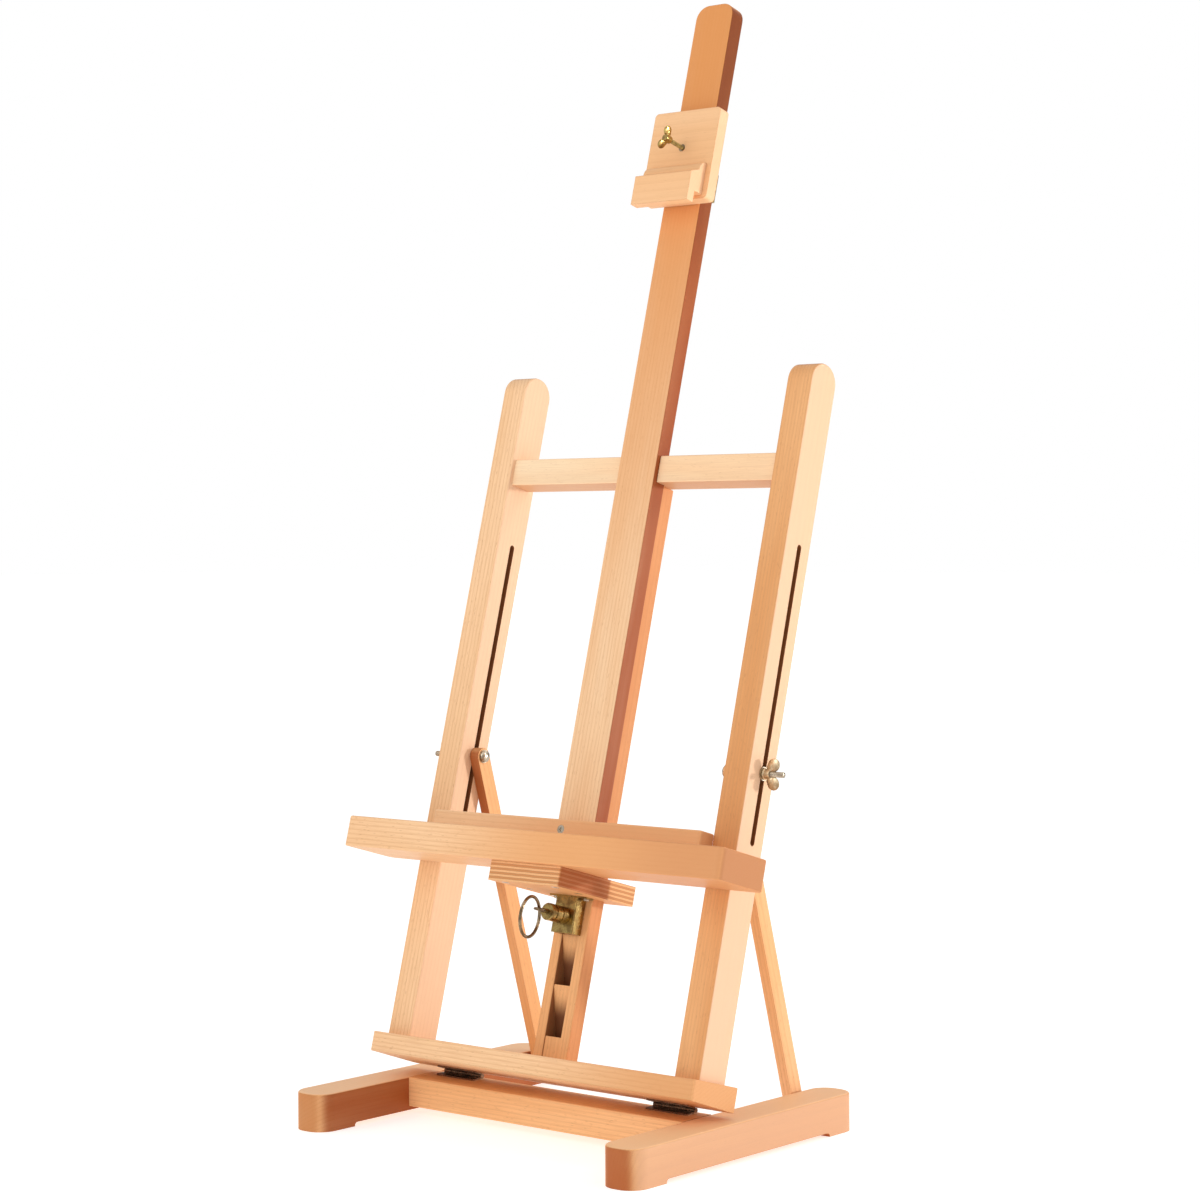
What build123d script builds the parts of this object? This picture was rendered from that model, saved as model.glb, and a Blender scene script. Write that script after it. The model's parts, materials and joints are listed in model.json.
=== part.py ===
from build123d import *
import math
import os

# Tabletop easel, millimetres, +Z up, +X to the easel's own right, front towards -Y.
# The origin is on the table, at the middle of the footprint of the two feet.
# The H-frame leans back about the hinge pins. Its parts are drawn upright, with the pin
# line as their own origin, and lean() sets them to the rest angle.

# ---- base ----
BASE_WIDTH = 386.0
BASE_LENGTH = 305.0
FOOT_WIDTH = 38.5
FOOT_HEIGHT = 33.0
FOOT_CORNER_R = 17.0
PAD_LENGTH = 41.0
PAD_HEIGHT = 3.5
BEAM_FRONT_Y = -43.5
BEAM_DEPTH = 40.0
BEAM_BOTTOM_Z = 7.0

# ---- joinery and wood screws ----
DOWEL_R = 4.0
DOWEL_LENGTH = 36.0
DOWEL_STEP = 10.0                   # base dowels, either side of the beam's middle
FRAME_DOWEL_HALF = 14.0
FRAME_DOWEL_STEP = 9.0
SCREW_R = 1.85
SCREW_HEAD_R = 3.7
SCREW_HOLE_R = 1.9
SINK_R = 3.8
EDGE_R = 1.5                        # sanded edges of the larger pieces
FINE_EDGE_R = 1.2                   # sanded edges of the thinner pieces

# ---- hinges ----
PIN_Y = -8.5
PIN_RISE = 2.3                      # pin centre above the beam, and below the rail
PIN_Z = FOOT_HEIGHT + PIN_RISE
PIN_R = 1.15
PIN_BORE_R = 1.20
KNUCKLE_R = 2.1
HINGE_X = 120.0
HINGE_WIDTH = 45.0
LEAF_LENGTH = 13.0
LEAF_THICK = 1.2
KNUCKLES = 5
KNUCKLE_GAP = 0.4
HINGE_HOLE_R = 1.5
HINGE_SINK_R = 3.0
HINGE_SCREW_HEAD_R = 2.9
HINGE_SCREW_R = 1.4
HINGE_SCREW_LENGTH = 11.0
HINGE_SCREW_STEP = 15.0
HINGE_SCREW_FORWARD = 7.8

# ---- leaning H-frame, measured from the pin line ----
LEAN = 15.5
FRAME_HALF = 176.0                  # outer faces of the uprights
UPRIGHT_THICK = 26.0
UPRIGHT_DEPTH = 36.0
FRONT_Y = -47.0                     # front plane of the uprights
RAIL_HALF = 181.5
RAIL_FRONT_Y = -61.0
RAIL_BACK_Y = 1.2
RAIL_TOP = 23.4
RAIL_BEVEL = 3.5                    # degrees that the rail's underside is out of square
UPRIGHT_TOP = 640.0
SLOT_Y = FRONT_Y + 20.3
SLOT_WIDTH = 5.6
SLOT_BOTTOM = 220.7
SLOT_TOP = 480.2
BAR_BOTTOM = 533.7
BAR_HEIGHT = 24.5
BAR_DEPTH = 25.0
BAR_SETBACK = 4.5

# ---- mast and the post behind it ----
MAST_HALF = 21.0
MAST_THICK = 17.0
MAST_TOP = 988.0
FRAME_GAP = 0.4                     # between the sliding parts and the frame
MAST_FRONT = FRONT_Y - FRAME_GAP
MAST_BACK = MAST_FRONT + MAST_THICK
POST_FRONT = MAST_BACK + FRAME_GAP
POST_DEPTH = 16.0
POST_BACK = POST_FRONT + POST_DEPTH
POST_HALF = 19.0
CHANNEL_HALF = 8.8
RACK_SETBACK = 1.2
TOOTH_PITCH = 44.7
TOOTH_DEPTH = 13.0
TOOTH_LIP = 2.5
FIRST_TOOTH = 42.0

# ---- tray and carriage ----
TRAY_HALF = 211.5
TRAY_DEPTH = 64.0
TRAY_BOTTOM = 180.0
TRAY_HEIGHT = 27.2
LEDGE_HALF = 151.0
LEDGE_DEPTH = 18.5
LEDGE_HEIGHT = 18.0
PLY_THICK = 17.0
CARRIAGE_HALF = 40.0
CARRIAGE_FRONT = FRONT_Y - 57.0
CARRIAGE_BACK = POST_BACK + 15.0

# ---- pawl that holds the tray on the rack ----
ROD_Z = 145.0
ROD_R = 2.0
BOX_HALF = 12.0
BOX_WALL = 1.5
BOX_FRONT = FRONT_Y + 4.5
BOX_BACK = MAST_BACK - 0.2
BOX_BOTTOM = FIRST_TOOTH + 2 * TOOTH_PITCH - 1.2
BOX_TOP = TRAY_BOTTOM - PLY_THICK
FLANGE_HALF = 21.0
BOX_SCREW_X = 16.5
SLEEVE_R = 7.5
SLEEVE_FRONT = FRONT_Y - 18.0
SLEEVE_GROOVES = (5.0, 13.0)        # behind the sleeve's front face
PAWL_HALF = 7.5
PAWL_FRONT = FRONT_Y + 11.2
PAWL_TIP = POST_FRONT + RACK_SETBACK - 0.5
EYE_Y = SLEEVE_FRONT - 10.6
EYE_R = 4.0
EYE_WIRE_R = 1.1
RING_R = 17.2
RING_WIRE_R = 1.4
RING_DROOP = 30.0                   # degrees that the ring hangs below the rod
RING_TWIST = 13.0                   # degrees that the loose ring is turned to the right

# ---- clamp at the top of the mast ----
CLAMP_HALF = 37.5
CLAMP_BOTTOM = 784.0
CLAMP_TOP = 879.0
PLATE_BOTTOM = 792.0
CLAMP_BACK = MAST_FRONT - 1.2
CLAMP_PLATE = 12.0
LIP_HALF = 32.0
LIP_FRONT = FRONT_Y - 33.0
LIP_THICK = 9.0
LIP_TOP = 811.0
GROOVE_TOP = 795.0
SCREW_Z = 843.0
STRAP_THICK = 1.2
STRAP_BOTTOM = 800.0
STRAP_TOP = 826.0
STRAP_HALF = 36.0
STRAP_SCREW_X = 29.5
STRAP_SCREW_STEP = 7.0
STRAP_GAP = 0.3                     # between the strap and the mast
LIP_RISE = 5.0                      # from the lip's top edge to the foot of its cove
COVE_R = 9.0
INSERT_R = 3.4
INSERT_BORE_R = 2.05
INSERT_LENGTH = 10.0
THUMB_R = 2.0
THUMB_HEAD_Y = LIP_FRONT

# ---- braces ----
BOLT_Z = 282.0                      # bolt centre up the slot at rest
BOLT_R = 2.5
BOLT_HOLE_R = 2.55
BRACE_OUTER = 149.4
BRACE_THICK = 10.0
BRACE_WIDTH = 15.0
FOOT_PIVOT_Y = 127.5
FOOT_PIVOT_Z = 16.5
WASHER_R = 6.0
WASHER_THICK = 1.0
BUSH_GAP = 0.5
PIVOT_R = 2.0
BOLT_HEAD_R = 5.5
BOLT_HEAD_HEIGHT = 3.4
BOLT_REACH = 21.5                   # of the bolt's end past the upright


def block(x0, x1, y0, y1, z0, z1):
    """A box between two corners."""
    size = (x1 - x0, y1 - y0, z1 - z0)
    centre = ((x0 + x1) / 2, (y0 + y1) / 2, (z0 + z1) / 2)
    return Pos(*centre) * Box(*size)


def rod_x(radius, x0, x1, y, z):
    """A cylinder along X."""
    return Pos((x0 + x1) / 2, y, z) * Rot(0, 90, 0) * Cylinder(radius, abs(x1 - x0))


def rod_y(radius, y0, y1, x, z):
    """A cylinder along Y."""
    return Pos(x, (y0 + y1) / 2, z) * Rot(90, 0, 0) * Cylinder(radius, abs(y1 - y0))


def rod_z(radius, z0, z1, x, y):
    """A cylinder along Z."""
    return Pos(x, y, (z0 + z1) / 2) * Cylinder(radius, abs(z1 - z0))


def side_prism(points, half_width):
    """Extrude an outline given as (y, z) points across X, centred on X = 0."""
    face = make_face(Plane.YZ * Polyline(*points, close=True))
    return extrude(face, amount=half_width, both=True)


def ease(solid, radius, edges=None):
    """Round the given edges, or every straight edge, by a small radius."""
    chosen = edges if edges is not None else solid.edges().filter_by(GeomType.LINE)
    return fillet(chosen, radius)


def lean(shape):
    """Turn an upright frame part back to the rest angle and set it on the pin line."""
    return Pos(0, PIN_Y, PIN_Z) * Rot(-LEAN, 0, 0) * shape


def mirror_x(shape):
    return mirror(shape, about=Plane.YZ)


def countersunk(head_r, head_h, shank_r, length):
    """A wood screw along +Z with its flat head at Z = 0 and its point at Z = -length."""
    head = Pos(0, 0, -head_h / 2) * Cone(shank_r, head_r, head_h)
    shank = Pos(0, 0, -length / 2) * Cylinder(shank_r, length)
    screw = head + shank
    cross = Box(head_r * 1.1, head_r * 0.22, head_h) + Box(head_r * 0.22, head_r * 1.1, head_h)
    return screw - cross


def sunk_mouth():
    """The countersunk mouth of a screw hole along Z, widest at Z = 0."""
    return Pos(0, 0, -SINK_R / 2) * Cone(SCREW_HOLE_R, SINK_R, SINK_R + 0.01)


def pan_head(head_r, head_h, shank_r, length):
    """A pan-head screw along +Z, with the underside of its head at Z = 0."""
    head = Pos(0, 0, head_h / 2) * Cylinder(head_r, head_h)
    head = fillet(head.edges().sort_by(Axis.Z)[-1], head_h * 0.6)
    shank = Pos(0, 0, -length / 2) * Cylinder(shank_r, length)
    cross = Box(head_r * 1.1, head_r * 0.2, head_h) + Box(head_r * 0.2, head_r * 1.1, head_h)
    return head + shank - Pos(0, 0, head_h) * cross


# ---------------------------------------------------------------- base

def foot_right():
    half = BASE_LENGTH / 2
    outer = BASE_WIDTH / 2
    inner = outer - FOOT_WIDTH
    foot = block(inner, outer, -half, half, 0, FOOT_HEIGHT)
    foot = fillet(foot.edges().filter_by(Axis.Z), FOOT_CORNER_R)
    foot = fillet(foot.faces().sort_by(Axis.Z)[-1].edges(), 2.0)
    relief = block(inner - 1, outer + 1, -half + PAD_LENGTH, half - PAD_LENGTH, -1, PAD_HEIGHT)
    relief = fillet(relief.edges().filter_by(Axis.X).group_by(Axis.Z)[-1], 3.0)
    foot -= relief
    for y in dowel_places():
        foot -= rod_x(DOWEL_R, inner - 1, inner + DOWEL_LENGTH / 2, y, beam_mid_z())
    return foot


def beam_mid_z():
    return (BEAM_BOTTOM_Z + FOOT_HEIGHT) / 2


def dowel_places():
    middle = BEAM_FRONT_Y + BEAM_DEPTH / 2
    return (middle - DOWEL_STEP, middle + DOWEL_STEP)


def base_crossbeam():
    inner = BASE_WIDTH / 2 - FOOT_WIDTH
    back = BEAM_FRONT_Y + BEAM_DEPTH
    beam = block(-inner, inner, BEAM_FRONT_Y, back, BEAM_BOTTOM_Z, FOOT_HEIGHT)
    beam = ease(beam, FINE_EDGE_R, beam.edges().filter_by(Axis.X))
    for y in dowel_places():
        for side in (-1, 1):
            deep = side * (inner - DOWEL_LENGTH / 2)
            beam -= rod_x(DOWEL_R, deep, side * (inner + 1), y, beam_mid_z())
    for x, y in hinge_screw_places():
        beam -= rod_z(HINGE_HOLE_R, FOOT_HEIGHT - HINGE_SCREW_LENGTH - 1, FOOT_HEIGHT + 1, x, PIN_Y - y)
    return beam


def base_dowels():
    inner = BASE_WIDTH / 2 - FOOT_WIDTH
    pins = []
    for y in dowel_places():
        for side in (-1, 1):
            x0 = side * inner - DOWEL_LENGTH / 2
            pin = rod_x(DOWEL_R, x0, x0 + DOWEL_LENGTH, y, beam_mid_z())
            pins.append(chamfer(pin.edges(), 0.8))
    return Compound(pins)


def brace_bushes():
    """Short spacers on the inner sides of the feet, where the braces are screwed."""
    inner = BASE_WIDTH / 2 - FOOT_WIDTH
    bush = rod_x(WASHER_R, BRACE_OUTER + BUSH_GAP, inner, FOOT_PIVOT_Y, FOOT_PIVOT_Z)
    bush = chamfer(bush.edges(), 0.4)
    return Compound([bush, mirror_x(bush)])


# ---------------------------------------------------------------- hinges

def knuckle_spans(upper):
    """The X spans of one leaf's knuckles, about the hinge's own middle."""
    pitch = HINGE_WIDTH / KNUCKLES
    first = 1 if upper else 0
    spans = []
    for index in range(first, KNUCKLES, 2):
        start = -HINGE_WIDTH / 2 + index * pitch
        spans.append((start + KNUCKLE_GAP / 2, start + pitch - KNUCKLE_GAP / 2))
    return spans


def hinge_screw_places():
    """(x, distance in front of the pin) of every hinge screw."""
    places = []
    for side in (-1, 1):
        for step in (-1, 0, 1):
            places.append((side * HINGE_X + step * HINGE_SCREW_STEP, HINGE_SCREW_FORWARD))
    return places


def hinge_leaf(upper):
    """One leaf lying on the surface below its pin, pin line along X at Z = PIN_RISE."""
    half = HINGE_WIDTH / 2
    leaf = block(-half, half, -LEAF_LENGTH, -KNUCKLE_R - 0.3, 0, LEAF_THICK)
    leaf = fillet(leaf.edges().filter_by(Axis.Z).group_by(Axis.Y)[0], 2.0)
    bore_r = PIN_BORE_R if upper else PIN_R
    for x0, x1 in knuckle_spans(upper):
        web = block(x0, x1, -KNUCKLE_R - 0.5, -0.6, LEAF_THICK - 1.0, LEAF_THICK + 0.2)
        leaf += web + rod_x(KNUCKLE_R, x0, x1, 0, PIN_RISE)
    leaf -= rod_x(bore_r, -half - 1, half + 1, 0, PIN_RISE)
    for x, forward in hinge_screw_places():
        if x > 0:
            local = x - HINGE_X
            sink = Cone(HINGE_HOLE_R, HINGE_SINK_R, LEAF_THICK + 0.01)
            leaf -= Pos(local, -forward, LEAF_THICK / 2) * sink
    return leaf


def lower_leaf(side):
    return Pos(side * HINGE_X, PIN_Y, FOOT_HEIGHT) * hinge_leaf(False)


def under_rail(shape):
    """Set a leaf, or what is drawn with it, under the bevelled face of the upright bottom rail."""
    return Rot(-RAIL_BEVEL, 0, 0) * Pos(0, 0, PIN_RISE) * mirror(shape, about=Plane.XY)


def upper_leaf(side):
    return lean(under_rail(Pos(side * HINGE_X, 0, 0) * hinge_leaf(True)))


def hinge_pin(side):
    length = HINGE_WIDTH - 0.6
    pin = rod_x(PIN_R, -length / 2, length / 2, 0, 0)
    pin = chamfer(pin.edges(), 0.25)
    return Pos(side * HINGE_X, PIN_Y, PIN_Z) * pin


def hinge_screw():
    return countersunk(HINGE_SCREW_HEAD_R, LEAF_THICK, HINGE_SCREW_R, HINGE_SCREW_LENGTH)


def lower_hinge_screws():
    places = hinge_screw_places()
    return Compound([Pos(x, PIN_Y - y, FOOT_HEIGHT + LEAF_THICK) * hinge_screw() for x, y in places])


def upper_hinge_screws():
    places = hinge_screw_places()
    return Compound([lean(under_rail(Pos(x, -y, LEAF_THICK) * hinge_screw())) for x, y in places])


# ---------------------------------------------------------------- leaning frame

def bottom_rail():
    slope = math.tan(math.radians(RAIL_BEVEL))
    under = PIN_RISE / math.cos(math.radians(RAIL_BEVEL))
    points = [
        (RAIL_FRONT_Y, under - RAIL_FRONT_Y * slope),
        (RAIL_BACK_Y, under - RAIL_BACK_Y * slope),
        (RAIL_BACK_Y, RAIL_TOP),
        (RAIL_FRONT_Y, RAIL_TOP),
    ]
    rail = side_prism(points, RAIL_HALF)
    rail = ease(rail, 3.0, rail.edges().filter_by(Axis.Z))
    rail = ease(rail, 0.8, rail.faces().sort_by(Axis.Z)[-1].edges())
    for x, y in frame_dowel_places():
        rail -= rod_z(DOWEL_R, RAIL_TOP - FRAME_DOWEL_HALF, RAIL_TOP + 1, x, y)
    for x, y in hinge_screw_places():
        rail -= under_rail(rod_z(HINGE_HOLE_R, -HINGE_SCREW_LENGTH - 1, 1, x, -y))
    return lean(rail)


def frame_dowel_places():
    """(x, y) of the dowels that stand the uprights and the post rails on the bottom rail."""
    upright_x = FRAME_HALF - UPRIGHT_THICK / 2
    post_x = (POST_HALF + CHANNEL_HALF) / 2
    middle = FRONT_Y + UPRIGHT_DEPTH / 2
    places = []
    for side in (-1, 1):
        places.append((side * upright_x, middle - FRAME_DOWEL_STEP))
        places.append((side * upright_x, middle + FRAME_DOWEL_STEP))
        places.append((side * post_x, (POST_FRONT + POST_BACK) / 2))
    return places


def upright_right():
    inner = FRAME_HALF - UPRIGHT_THICK
    back = FRONT_Y + UPRIGHT_DEPTH
    upright = block(inner, FRAME_HALF, FRONT_Y, back, RAIL_TOP, UPRIGHT_TOP)
    top_edges = upright.edges().filter_by(Axis.X).group_by(Axis.Z)[-1]
    upright = fillet(top_edges, UPRIGHT_DEPTH / 2 - 1.0)
    upright = ease(upright, EDGE_R, upright.edges().filter_by(Axis.Z))
    slot_r = SLOT_WIDTH / 2
    through = (inner - 1, FRAME_HALF + 1)
    slot = block(*through, SLOT_Y - slot_r, SLOT_Y + slot_r, SLOT_BOTTOM + slot_r, SLOT_TOP - slot_r)
    slot += rod_x(slot_r, *through, SLOT_Y, SLOT_BOTTOM + slot_r)
    slot += rod_x(slot_r, *through, SLOT_Y, SLOT_TOP - slot_r)
    upright -= slot
    for x, y in frame_dowel_places():
        if x > inner:
            upright -= rod_z(DOWEL_R, RAIL_TOP - 1, RAIL_TOP + FRAME_DOWEL_HALF, x, y)
    upright -= rod_x(DOWEL_R, inner - 1, inner + FRAME_DOWEL_HALF, bar_mid_y(), bar_mid_z())
    return lean(upright)


def bar_mid_y():
    return FRONT_Y + BAR_SETBACK + BAR_DEPTH - 7.0


def bar_mid_z():
    return BAR_BOTTOM + BAR_HEIGHT / 2


def top_crossbar():
    inner = FRAME_HALF - UPRIGHT_THICK
    front = FRONT_Y + BAR_SETBACK
    bar = block(-inner, inner, front, front + BAR_DEPTH, BAR_BOTTOM, BAR_BOTTOM + BAR_HEIGHT)
    bar = ease(bar, EDGE_R, bar.edges().filter_by(Axis.X))
    top = BAR_BOTTOM + BAR_HEIGHT
    notch_half = MAST_HALF + FRAME_GAP
    bar -= block(-notch_half, notch_half, front - 1, POST_FRONT, BAR_BOTTOM - 1, top + 1)
    for side in (-1, 1):
        deep = side * (inner - FRAME_DOWEL_HALF)
        bar -= rod_x(DOWEL_R, deep, side * (inner + 1), bar_mid_y(), bar_mid_z())
        bar -= rod_z(SCREW_HOLE_R, BAR_BOTTOM - 1, top + 1, side * post_screw_x(), post_screw_y())
        bar -= Pos(side * post_screw_x(), post_screw_y(), top) * sunk_mouth()
    return lean(bar)


def post_screw_x():
    return (POST_HALF + CHANNEL_HALF) / 2


def post_screw_y():
    return POST_FRONT + 6.5


def post_rail_right():
    """One of the two rails that make the post's front and the sides of its channel."""
    rail = block(CHANNEL_HALF, POST_HALF, POST_FRONT, POST_BACK, RAIL_TOP, BAR_BOTTOM)
    rail = ease(rail, FINE_EDGE_R, rail.edges().filter_by(Axis.Z))
    middle = (POST_FRONT + POST_BACK) / 2
    rail -= rod_z(DOWEL_R, RAIL_TOP - 1, RAIL_TOP + FRAME_DOWEL_HALF, post_screw_x(), middle)
    rail -= rod_z(SCREW_HOLE_R, BAR_BOTTOM - 22, BAR_BOTTOM + 1, post_screw_x(), post_screw_y())
    return lean(rail)


def ratchet_rack():
    """Column of wedge blocks in the post's channel: each has a flat ledge with a slope under it."""
    crest = POST_FRONT + RACK_SETBACK
    root = crest + TOOTH_DEPTH
    blocks = [block(-CHANNEL_HALF, CHANNEL_HALF, crest, POST_BACK, RAIL_TOP, FIRST_TOOTH)]
    teeth = round((BAR_BOTTOM - FIRST_TOOTH) / TOOTH_PITCH)
    for tooth in range(teeth):
        below = FIRST_TOOTH + tooth * TOOTH_PITCH
        ledge = below + TOOTH_PITCH
        points = [
            (POST_BACK, below),
            (root, below),
            (crest, ledge - TOOTH_LIP),
            (crest, ledge),
            (POST_BACK, ledge),
        ]
        blocks.append(side_prism(points, CHANNEL_HALF))
    return Compound([lean(wedge) for wedge in blocks])


def frame_dowels():
    pins = []
    for x, y in frame_dowel_places():
        pins.append(rod_z(DOWEL_R, RAIL_TOP - FRAME_DOWEL_HALF, RAIL_TOP + FRAME_DOWEL_HALF, x, y))
    inner = FRAME_HALF - UPRIGHT_THICK
    for side in (-1, 1):
        x0 = side * inner - FRAME_DOWEL_HALF
        pins.append(rod_x(DOWEL_R, x0, x0 + 2 * FRAME_DOWEL_HALF, bar_mid_y(), bar_mid_z()))
    return Compound([lean(chamfer(pin.edges(), 0.8)) for pin in pins])


def post_screws():
    screws = []
    for side in (-1, 1):
        place = Pos(side * post_screw_x(), post_screw_y(), BAR_BOTTOM + BAR_HEIGHT)
        screws.append(lean(place * countersunk(SCREW_HEAD_R, SCREW_R, SCREW_R, 42.0)))
    return Compound(screws)


# ---------------------------------------------------------------- mast, tray and carriage

def mast():
    stick = block(-MAST_HALF, MAST_HALF, MAST_FRONT, MAST_BACK, TRAY_BOTTOM, MAST_TOP)
    crown = stick.edges().filter_by(Axis.Y).group_by(Axis.Z)[-1]
    stick = fillet(crown, 13.0)
    stick = ease(stick, FINE_EDGE_R, stick.edges().filter_by(Axis.Z))
    stick -= rod_y(SCREW_HOLE_R, MAST_FRONT - 1, MAST_FRONT + 14, 0, ledge_screw_z())
    return lean(stick)


def ledge_screw_z():
    return TRAY_BOTTOM + TRAY_HEIGHT + LEDGE_HEIGHT / 2


def tray_bar():
    front = MAST_FRONT - TRAY_DEPTH
    bar = block(-TRAY_HALF, TRAY_HALF, front, MAST_FRONT, TRAY_BOTTOM, TRAY_BOTTOM + TRAY_HEIGHT)
    bar = fillet(bar.edges().filter_by(Axis.Z), 6.0)
    bar = ease(bar, EDGE_R, bar.faces().sort_by(Axis.Z)[-1].edges())
    bar = ease(bar, 1.0, bar.faces().sort_by(Axis.Z)[0].edges())
    for x, y in tray_screw_places():
        bar -= rod_z(SCREW_HOLE_R, TRAY_BOTTOM - 1, TRAY_BOTTOM + 18, x, y)
    return lean(bar)


def tray_screw_places():
    """(x, y) of the screws that come up through the carriage into the tray."""
    return [(side * 28.0, y) for side in (-1, 1) for y in (MAST_FRONT - 45.0, MAST_FRONT - 14.0)]


def tray_ledge():
    bottom = TRAY_BOTTOM + TRAY_HEIGHT
    front = MAST_FRONT - LEDGE_DEPTH
    ledge = block(-LEDGE_HALF, LEDGE_HALF, front, MAST_FRONT, bottom, bottom + LEDGE_HEIGHT)
    ledge = fillet(ledge.edges().filter_by(Axis.Z).group_by(Axis.Y)[0], 3.0)
    ledge = ease(ledge, EDGE_R, ledge.faces().sort_by(Axis.Z)[-1].edges())
    ledge -= rod_y(SCREW_HOLE_R, front - 1, MAST_FRONT + 1, 0, ledge_screw_z())
    ledge -= Pos(0, front, ledge_screw_z()) * Rot(90, 0, 0) * sunk_mouth()
    return lean(ledge)


def ledge_screw():
    screw = countersunk(SCREW_HEAD_R, SCREW_R, SCREW_R, 31.0)
    return lean(Pos(0, MAST_FRONT - LEDGE_DEPTH, ledge_screw_z()) * Rot(90, 0, 0) * screw)


def carriage_plate():
    """Plywood plate under the tray, with a hole at the back that goes round the post."""
    bottom = TRAY_BOTTOM - PLY_THICK
    depth = (CARRIAGE_FRONT, CARRIAGE_BACK)
    plate = block(-CARRIAGE_HALF, CARRIAGE_HALF, *depth, bottom, TRAY_BOTTOM)
    plate = ease(plate, 3.0, plate.edges().filter_by(Axis.Z))
    hole_half = POST_HALF + FRAME_GAP
    hole_y = (POST_FRONT - FRAME_GAP, POST_BACK + FRAME_GAP)
    plate -= block(-hole_half, hole_half, *hole_y, bottom - 1, TRAY_BOTTOM + 1)
    for x, y in tray_screw_places():
        plate -= rod_z(SCREW_HOLE_R, bottom - 1, TRAY_BOTTOM + 1, x, y)
        plate -= Pos(x, y, bottom) * Rot(180, 0, 0) * sunk_mouth()
    for x, y in box_screw_places():
        plate -= rod_z(1.3, bottom - 1, bottom + 11, x, y)
    return lean(plate)


def tray_screws():
    bottom = TRAY_BOTTOM - PLY_THICK
    screw = Rot(180, 0, 0) * countersunk(SCREW_HEAD_R, SCREW_R, SCREW_R, 34.0)
    return Compound([lean(Pos(x, y, bottom) * screw) for x, y in tray_screw_places()])


# ---------------------------------------------------------------- pawl

def box_screw_places():
    middle = (BOX_FRONT + BOX_BACK) / 2
    return [(-BOX_SCREW_X, middle), (BOX_SCREW_X, middle)]


def pawl_box():
    """Folded brass housing, open at the back, with a flange on each side under the carriage."""
    box = block(-BOX_HALF, BOX_HALF, BOX_FRONT, BOX_BACK, BOX_BOTTOM, BOX_TOP)
    box = ease(box, 1.2, box.edges().filter_by(Axis.Z).group_by(Axis.Y)[0])
    inside = BOX_HALF - BOX_WALL
    inside_z = (BOX_BOTTOM + BOX_WALL, BOX_TOP - BOX_WALL)
    box -= block(-inside, inside, BOX_FRONT + BOX_WALL, BOX_BACK + 1, *inside_z)
    flange = block(-FLANGE_HALF, FLANGE_HALF, BOX_FRONT, BOX_BACK, BOX_TOP - BOX_WALL, BOX_TOP)
    box += fillet(flange.edges().filter_by(Axis.Z), 2.0)
    box -= rod_y(SLEEVE_R - 2.5, BOX_FRONT - 1, BOX_FRONT + BOX_WALL + 1, 0, ROD_Z)
    for x, y in box_screw_places():
        box -= rod_z(1.4, BOX_TOP - 3, BOX_TOP + 1, x, y)
    return lean(box)


def pawl_sleeve():
    """Round guide on the front of the box, which holds the spring and guides the rod."""
    sleeve = rod_y(SLEEVE_R, SLEEVE_FRONT, BOX_FRONT, 0, ROD_Z)
    sleeve = chamfer(sleeve.edges(), 0.7)
    for step in SLEEVE_GROOVES:
        y = SLEEVE_FRONT + step
        sleeve -= rod_y(SLEEVE_R + 1, y, y + 1.4, 0, ROD_Z) - rod_y(SLEEVE_R - 0.7, y - 1, y + 2.4, 0, ROD_Z)
    sleeve -= rod_y(SLEEVE_R - 2.5, SLEEVE_FRONT + 2.5, BOX_FRONT + 1, 0, ROD_Z)
    sleeve -= rod_y(ROD_R + 0.08, SLEEVE_FRONT - 1, SLEEVE_FRONT + 4, 0, ROD_Z)
    return lean(sleeve)


def box_screws():
    screw = Rot(180, 0, 0) * pan_head(2.6, 1.8, 1.3, 10.5)
    return Compound([lean(Pos(x, y, BOX_TOP - BOX_WALL) * screw) for x, y in box_screw_places()])


def pawl():
    """Steel block with a nose that drops on a ledge of the rack."""
    bottom = BOX_BOTTOM + BOX_WALL + 0.3
    top = BOX_TOP - BOX_WALL - 0.5
    shoulder = PAWL_TIP - 3.2
    points = [
        (PAWL_FRONT, bottom),
        (PAWL_TIP, bottom),
        (PAWL_TIP, bottom + 3.0),
        (shoulder, bottom + 11.0),
        (shoulder, top),
        (PAWL_FRONT, top),
    ]
    nose = side_prism(points, PAWL_HALF)
    nose = ease(nose, 0.5, nose.edges().filter_by(Axis.X))
    nose -= rod_y(ROD_R, PAWL_FRONT - 1, PAWL_TIP + 1, 0, ROD_Z)
    return lean(nose)


def pull_rod():
    """Rod from the pawl to the eye that the ring hangs in."""
    rod = rod_y(ROD_R, EYE_Y + EYE_R + 0.3, PAWL_TIP - 3.2, 0, ROD_Z)
    rod += rod_y(4.0, PAWL_FRONT - 1.5, PAWL_FRONT, 0, ROD_Z)
    eye = Pos(0, EYE_Y, ROD_Z) * Torus(EYE_R, EYE_WIRE_R)
    return lean(rod + eye)


def pawl_spring():
    """Compression spring round the rod, between the sleeve's front wall and the rod's collar."""
    wire_r = 0.45
    coil_r = 3.2
    start = SLEEVE_FRONT + 2.5 + wire_r + 0.1
    end = PAWL_FRONT - 1.5 - wire_r - 0.1
    turns = 9
    path = Helix(pitch=(end - start) / turns, height=end - start, radius=coil_r)
    section = Plane(origin=path @ 0, z_dir=path % 0) * Circle(wire_r)
    coil = sweep(section, path=path, is_frenet=True)
    return lean(Pos(0, start, ROD_Z) * Rot(-90, 0, 0) * coil)


def pull_ring():
    droop = math.radians(RING_DROOP)
    centre = Pos(0, -RING_R * math.cos(droop), -RING_R * math.sin(droop))
    ring = centre * Rot(0, 90, 0) * Torus(RING_R, RING_WIRE_R)
    return lean(Pos(0, EYE_Y, ROD_Z) * Rot(0, 0, RING_TWIST) * ring)


# ---------------------------------------------------------------- canvas clamp

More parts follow.
